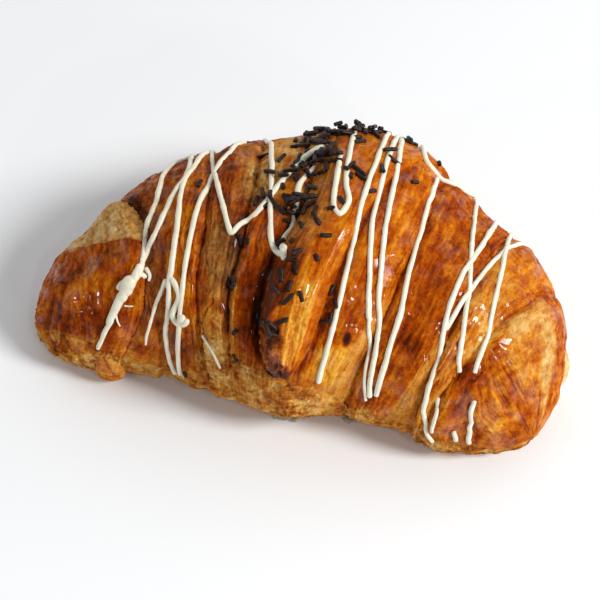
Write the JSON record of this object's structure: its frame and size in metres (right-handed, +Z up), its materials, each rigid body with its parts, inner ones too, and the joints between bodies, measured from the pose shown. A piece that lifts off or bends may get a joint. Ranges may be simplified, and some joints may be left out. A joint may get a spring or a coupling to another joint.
{
  "type": "white chocolate croissant",
  "caption": "Crescent-shaped laminated pastry roll with a glossy browned crust, drizzled with white chocolate and topped with dark chocolate sprinkles; rests on its flat base.",
  "frame": {"origin": "on the resting plane, under the middle of the croissant's outline", "axes": "+X along the crescent's length, -Y towards the side of its two ends and the tip of the roll, +Z up"},
  "size_m": [0.1769, 0.1044, 0.067],
  "materials": {
    "crust": "egg-washed and syrup-glazed baked crust, glossy on top and dry at the foot",
    "white_chocolate": "set white chocolate, soft sheen",
    "dark_chocolate": "chocolate sprinkles, soft sheen"
  },
  "bodies": {
    "root": {"croissant": "crust"}
  },
  "joints": []
}
